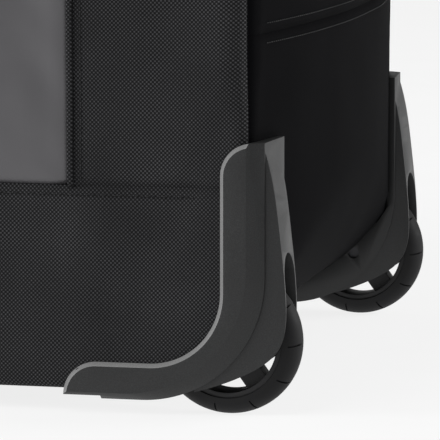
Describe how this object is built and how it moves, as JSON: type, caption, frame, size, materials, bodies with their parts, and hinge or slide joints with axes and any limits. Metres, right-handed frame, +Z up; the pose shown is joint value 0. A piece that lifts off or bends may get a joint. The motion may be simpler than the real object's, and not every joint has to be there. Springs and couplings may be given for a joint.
{
  "type": "wheeled hockey equipment bag",
  "caption": "Large soft-sided duffel lying on its long bottom, with moulded wheel guards at one end, a zipped lid, carry handles and end handles.",
  "frame": {"origin": "on the floor under the middle of the bag", "axes": "+X towards the wheel end, along the bag; +Y towards the side that the lid is hinged on; +Z up"},
  "size_m": [0.95, 0.4712, 0.4401],
  "materials": {
    "ballistic_nylon": "coarse ballistic weave, near black",
    "end_nylon": "fine weave, near black",
    "tarpaulin": "coated tarpaulin, dark grey satin",
    "webbing": "woven nylon webbing, black",
    "grip_wrap": "soft moulded grip, black",
    "patch_fabric": "reinforced fabric, black",
    "guard_plastic": "fine textured moulding, dark grey",
    "liner_plastic": "plain moulding, black",
    "tyre": "moulded polyurethane tread, near black",
    "rim_plastic": "moulded nylon, near black",
    "steel": "zinc plated",
    "zip_tape": "woven tape with moulded teeth, black",
    "zip_metal": "painted die casting, black"
  },
  "bodies": {
    "shell": {"axle_left": "steel", "axle_nut_left": "steel", "axle_nut_right": "steel", "axle_right": "steel", "axle_washers_left": "steel", "axle_washers_right": "steel", "base_board": "liner_plastic", "bottom_panel": "ballistic_nylon", "end_handle_patches": "patch_fabric", "foot_left": "guard_plastic", "foot_right": "guard_plastic", "foot_screws": "steel", "guard_rivets_left": "steel", "guard_rivets_right": "steel", "handle_corner_left": "ballistic_nylon", "handle_corner_right": "ballistic_nylon", "handle_end_lower": "end_nylon", "handle_end_upper": "end_nylon", "load_straps": "webbing", "lower_side_left": "ballistic_nylon", "lower_side_right": "ballistic_nylon", "tarpaulin_left": "tarpaulin", "tarpaulin_piping_left": "patch_fabric", "tarpaulin_piping_right": "patch_fabric", "tarpaulin_right": "tarpaulin", "top_border": "end_nylon", "wheel_corner_left": "ballistic_nylon", "wheel_corner_right": "ballistic_nylon", "wheel_end_lower": "end_nylon", "wheel_end_upper": "end_nylon", "wheel_guard_left": "guard_plastic", "wheel_guard_right": "guard_plastic", "wheel_well_left": "liner_plastic", "wheel_well_right": "liner_plastic", "zip_tape_border": "zip_tape"},
    "lid": {"lid": "tarpaulin", "zip_tape_lid": "zip_tape"},
    "wheel_right": {"tyre_right": "tyre", "rim_right": "rim_plastic", "bearings_right": "steel", "bearing_spacer_right": "steel"},
    "carry_right": {"carry_handle_right": "webbing", "carry_grip_right": "grip_wrap"},
    "wheel_left": {"tyre_left": "tyre", "rim_left": "rim_plastic", "bearings_left": "steel", "bearing_spacer_left": "steel"},
    "carry_left": {"carry_handle_left": "webbing", "carry_grip_left": "grip_wrap"},
    "tow": {"tow_handle": "webbing", "tow_grip": "grip_wrap"},
    "grab": {"grab_handle": "webbing", "grab_grip": "grip_wrap"},
    "slider_front": {"zip_slider_front": "zip_metal"},
    "pull_front": {"zip_pull_front": "zip_metal"},
    "slider_back": {"zip_slider_back": "zip_metal"},
    "pull_back": {"zip_pull_back": "zip_metal"}
  },
  "joints": [
    {"name": "lid_hinge", "type": "hinge", "parent": "shell", "child": "lid", "pos_m": [0, 0.16, 0.43], "axis": [-1, 0, 0], "range_deg": [0, 110]},
    {"name": "wheel_right_spin", "type": "hinge", "parent": "shell", "child": "wheel_right", "pos_m": [0.4239, -0.205, 0.045], "axis": [0, 1, 0], "continuous": true},
    {"name": "carry_right_swing", "type": "hinge", "parent": "shell", "child": "carry_right", "pos_m": [0, -0.2311, 0.36], "axis": [-1, 0, 0], "range_deg": [0, 180]},
    {"name": "wheel_left_spin", "type": "hinge", "parent": "shell", "child": "wheel_left", "pos_m": [0.4239, 0.205, 0.045], "axis": [0, 1, 0], "continuous": true},
    {"name": "carry_left_swing", "type": "hinge", "parent": "shell", "child": "carry_left", "pos_m": [0, 0.2311, 0.36], "axis": [1, 0, 0], "range_deg": [0, 180]},
    {"name": "tow_swing", "type": "hinge", "parent": "shell", "child": "tow", "pos_m": [-0.4705, 0, 0.35], "axis": [0, 1, 0], "range_deg": [0, 180]},
    {"name": "grab_swing", "type": "hinge", "parent": "shell", "child": "grab", "pos_m": [0.4705, 0, 0.35], "axis": [0, -1, 0], "range_deg": [0, 180]},
    {"name": "zip_front_slide", "type": "slide", "parent": "shell", "child": "slider_front", "axis": [1, 0, 0], "range_m": [0, 0.27]},
    {"name": "pull_front_tilt", "type": "hinge", "parent": "slider_front", "child": "pull_front", "pos_m": [0.016, -0.1675, 0.4391], "axis": [0, -1, 0], "range_deg": [0, 90]},
    {"name": "zip_back_slide", "type": "slide", "parent": "shell", "child": "slider_back", "axis": [-1, 0, 0], "range_m": [0, 0.27]},
    {"name": "pull_back_tilt", "type": "hinge", "parent": "slider_back", "child": "pull_back", "pos_m": [-0.016, -0.1675, 0.4391], "axis": [0, 1, 0], "range_deg": [0, 90]}
  ]
}
